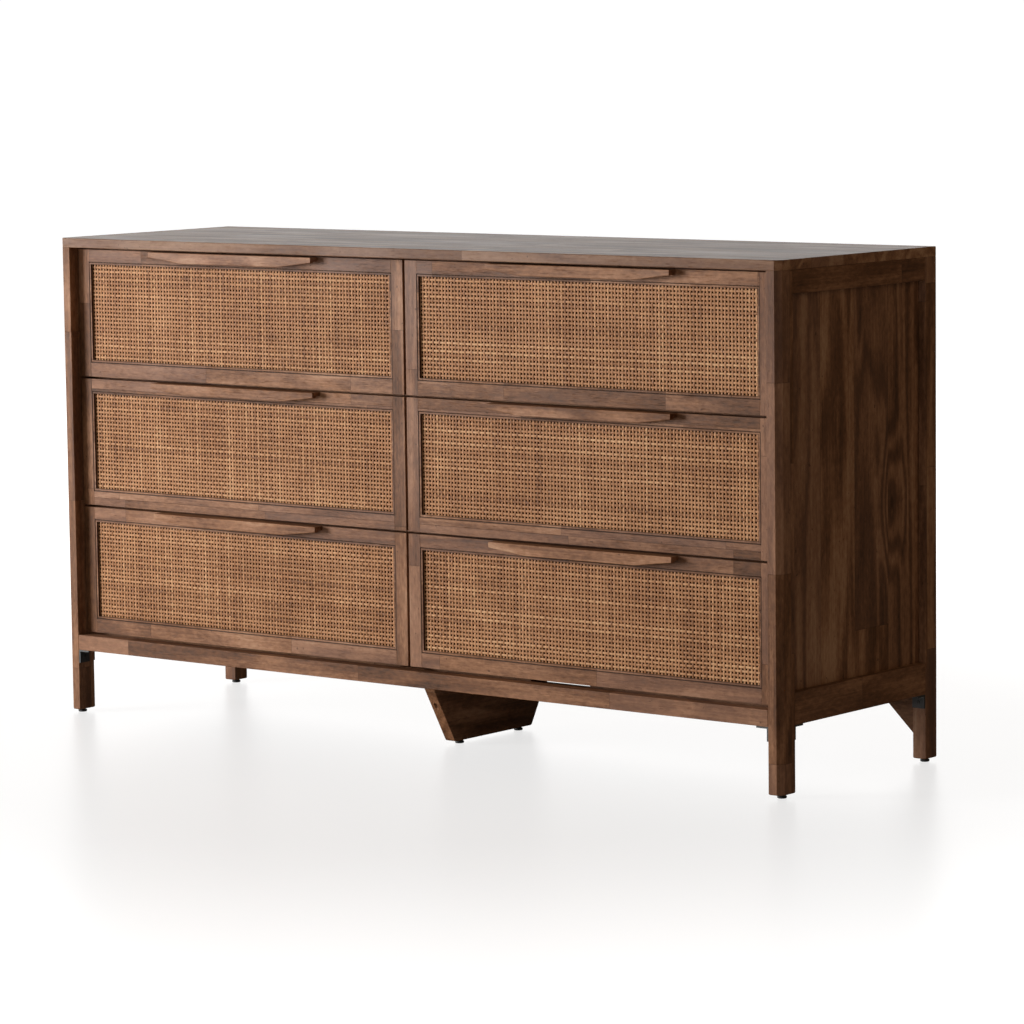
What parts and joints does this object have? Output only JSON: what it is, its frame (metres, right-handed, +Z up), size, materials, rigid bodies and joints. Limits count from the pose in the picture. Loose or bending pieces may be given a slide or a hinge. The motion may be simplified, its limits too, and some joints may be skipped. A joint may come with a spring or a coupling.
{
  "type": "dresser with drawers",
  "caption": "Wide wooden dresser on short legs with woven cane drawer fronts, tapered wooden pulls and a tapered centre support underneath.",
  "frame": {"origin": "on the floor under the middle of the dresser's footprint", "axes": "+X across the width to the right seen from the front, -Y out of the drawer fronts, +Z up"},
  "size_m": [1.6, 0.46, 0.875],
  "materials": {
    "case_wood": "satin",
    "top_wood": "satin",
    "front_wood": "satin",
    "pull_wood": "satin",
    "cane": "satin",
    "tray_wood": "matte",
    "back_board": "matte",
    "runner_steel": "satin",
    "bracket_steel": "satin",
    "screw_steel": "satin",
    "glide_plastic": "matte"
  },
  "bodies": {
    "carcass": {"top_panel": "top_wood", "front_leg_left": "case_wood", "front_leg_right": "case_wood", "rear_leg_left": "case_wood", "rear_leg_right": "case_wood", "side_upper_rail_left": "case_wood", "side_upper_rail_right": "case_wood", "side_lower_rail_left": "case_wood", "side_lower_rail_right": "case_wood", "side_panel_left": "case_wood", "side_panel_right": "case_wood", "front_lower_rail": "case_wood", "back_lower_rail": "case_wood", "upper_rails": "case_wood", "divider_rails": "case_wood", "centre_partition": "case_wood", "back_panel": "back_board", "bottom_stretcher": "case_wood", "centre_support": "case_wood", "rear_braces": "case_wood", "leg_brackets": "bracket_steel", "screws": "screw_steel", "glides": "glide_plastic", "runner_cabinet_members": "runner_steel"},
    "drawer_top_left": {"drawer_top_left_front_frame": "front_wood", "drawer_top_left_cane_panel": "cane", "drawer_top_left_pull": "pull_wood", "drawer_top_left_tray": "tray_wood", "drawer_top_left_runner_inner": "runner_steel"},
    "drawer_top_left_runner": {"drawer_top_left_runner_middle": "runner_steel"},
    "drawer_top_right": {"drawer_top_right_front_frame": "front_wood", "drawer_top_right_cane_panel": "cane", "drawer_top_right_pull": "pull_wood", "drawer_top_right_tray": "tray_wood", "drawer_top_right_runner_inner": "runner_steel"},
    "drawer_top_right_runner": {"drawer_top_right_runner_middle": "runner_steel"},
    "drawer_middle_left": {"drawer_middle_left_front_frame": "front_wood", "drawer_middle_left_cane_panel": "cane", "drawer_middle_left_pull": "pull_wood", "drawer_middle_left_tray": "tray_wood", "drawer_middle_left_runner_inner": "runner_steel"},
    "drawer_middle_left_runner": {"drawer_middle_left_runner_middle": "runner_steel"},
    "drawer_middle_right": {"drawer_middle_right_front_frame": "front_wood", "drawer_middle_right_cane_panel": "cane", "drawer_middle_right_pull": "pull_wood", "drawer_middle_right_tray": "tray_wood", "drawer_middle_right_runner_inner": "runner_steel"},
    "drawer_middle_right_runner": {"drawer_middle_right_runner_middle": "runner_steel"},
    "drawer_bottom_left": {"drawer_bottom_left_front_frame": "front_wood", "drawer_bottom_left_cane_panel": "cane", "drawer_bottom_left_pull": "pull_wood", "drawer_bottom_left_tray": "tray_wood", "drawer_bottom_left_runner_inner": "runner_steel"},
    "drawer_bottom_left_runner": {"drawer_bottom_left_runner_middle": "runner_steel"},
    "drawer_bottom_right": {"drawer_bottom_right_front_frame": "front_wood", "drawer_bottom_right_cane_panel": "cane", "drawer_bottom_right_pull": "pull_wood", "drawer_bottom_right_tray": "tray_wood", "drawer_bottom_right_runner_inner": "runner_steel"},
    "drawer_bottom_right_runner": {"drawer_bottom_right_runner_middle": "runner_steel"}
  },
  "joints": [
    {"name": "drawer_top_left_slide", "type": "slide", "parent": "carcass", "child": "drawer_top_left", "axis": [0, -1, 0], "range_m": [0, 0.35]},
    {"name": "drawer_top_left_runner_slide", "type": "slide", "parent": "carcass", "child": "drawer_top_left_runner", "axis": [0, -1, 0], "range_m": [0, 0.175]},
    {"name": "drawer_top_right_slide", "type": "slide", "parent": "carcass", "child": "drawer_top_right", "axis": [0, -1, 0], "range_m": [0, 0.35]},
    {"name": "drawer_top_right_runner_slide", "type": "slide", "parent": "carcass", "child": "drawer_top_right_runner", "axis": [0, -1, 0], "range_m": [0, 0.175]},
    {"name": "drawer_middle_left_slide", "type": "slide", "parent": "carcass", "child": "drawer_middle_left", "axis": [0, -1, 0], "range_m": [0, 0.35]},
    {"name": "drawer_middle_left_runner_slide", "type": "slide", "parent": "carcass", "child": "drawer_middle_left_runner", "axis": [0, -1, 0], "range_m": [0, 0.175]},
    {"name": "drawer_middle_right_slide", "type": "slide", "parent": "carcass", "child": "drawer_middle_right", "axis": [0, -1, 0], "range_m": [0, 0.35]},
    {"name": "drawer_middle_right_runner_slide", "type": "slide", "parent": "carcass", "child": "drawer_middle_right_runner", "axis": [0, -1, 0], "range_m": [0, 0.175]},
    {"name": "drawer_bottom_left_slide", "type": "slide", "parent": "carcass", "child": "drawer_bottom_left", "axis": [0, -1, 0], "range_m": [0, 0.35]},
    {"name": "drawer_bottom_left_runner_slide", "type": "slide", "parent": "carcass", "child": "drawer_bottom_left_runner", "axis": [0, -1, 0], "range_m": [0, 0.175]},
    {"name": "drawer_bottom_right_slide", "type": "slide", "parent": "carcass", "child": "drawer_bottom_right", "axis": [0, -1, 0], "range_m": [0, 0.35]},
    {"name": "drawer_bottom_right_runner_slide", "type": "slide", "parent": "carcass", "child": "drawer_bottom_right_runner", "axis": [0, -1, 0], "range_m": [0, 0.175]}
  ],
  "couplings": [
    {"joint": "drawer_top_left_runner_slide", "follows": "drawer_top_left_slide", "ratio": 0.5},
    {"joint": "drawer_top_right_runner_slide", "follows": "drawer_top_right_slide", "ratio": 0.5},
    {"joint": "drawer_middle_left_runner_slide", "follows": "drawer_middle_left_slide", "ratio": 0.5},
    {"joint": "drawer_middle_right_runner_slide", "follows": "drawer_middle_right_slide", "ratio": 0.5},
    {"joint": "drawer_bottom_left_runner_slide", "follows": "drawer_bottom_left_slide", "ratio": 0.5},
    {"joint": "drawer_bottom_right_runner_slide", "follows": "drawer_bottom_right_slide", "ratio": 0.5}
  ]
}
